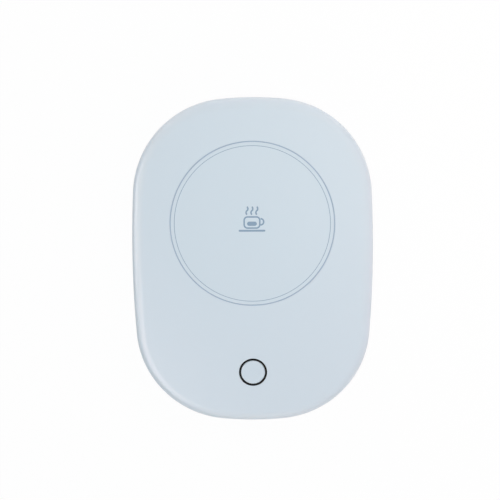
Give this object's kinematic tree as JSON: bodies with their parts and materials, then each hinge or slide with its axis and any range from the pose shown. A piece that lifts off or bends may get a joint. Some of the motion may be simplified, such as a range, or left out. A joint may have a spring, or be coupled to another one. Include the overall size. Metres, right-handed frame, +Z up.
{
  "type": "electric mug warmer",
  "caption": "Flat desktop mug warmer: soft rounded housing with a round heated plate, a push button near the front and a power inlet at the back.",
  "frame": {"origin": "bottom centre: middle of the footprint, on the plane the feet stand on", "axes": "+Z up through the heated plate, +Y along the length towards the back end with the power inlet, +X to the right with the button in front"},
  "size_m": [0.11, 0.149, 0.02],
  "materials": {
    "shell": "satin moulded",
    "plate": "satin coated",
    "gasket": "silicone",
    "button": "satin moulded",
    "ring": "smoked",
    "aluminium": "bare",
    "film": "polyimide",
    "felt": "ceramic felt",
    "dark_plastic": "moulded",
    "board": "solder mask",
    "package": "moulded epoxy",
    "steel": "zinc plated",
    "ivory": "moulded nylon",
    "red_lead": "silicone insulation",
    "white_lead": "silicone insulation",
    "black_lead": "silicone insulation",
    "foot": "silicone"
  },
  "bodies": {
    "housing": {"top_cover": "shell", "bottom_cover": "shell", "heating_plate": "plate", "plate_gasket": "gasket", "heat_spreader": "aluminium", "heater_film": "film", "insulation_pad": "felt", "plate_retainer": "dark_plastic", "retainer_screws": "steel", "thermistor": "package", "thermal_fuse": "steel", "control_board": "board", "controller_chip": "package", "power_transistor": "package", "capacitors": "aluminium", "resistors": "package", "status_leds": "ivory", "switch_body": "dark_plastic", "button_ring": "ring", "lead_connectors": "ivory", "inlet_board": "board", "inlet_shell": "steel", "inlet_tongue": "package", "heater_leads": "red_lead", "sensor_leads": "white_lead", "power_leads": "black_lead", "board_screws": "steel", "case_screws": "steel", "rubber_feet": "foot"},
    "button": {"button_cap": "button"},
    "plunger": {"switch_plunger": "ivory"}
  },
  "joints": [
    {"name": "button_press", "type": "slide", "parent": "housing", "child": "button", "axis": [0, 0, -1], "range_m": [0, 0.0004], "stiffness_N_per_m": 1500, "springref_m": -0.0005},
    {"name": "plunger_press", "type": "slide", "parent": "housing", "child": "plunger", "axis": [0, 0, -1], "range_m": [0, 0.0004]}
  ],
  "couplings": [
    {"joint": "plunger_press", "follows": "button_press", "ratio": 1}
  ]
}
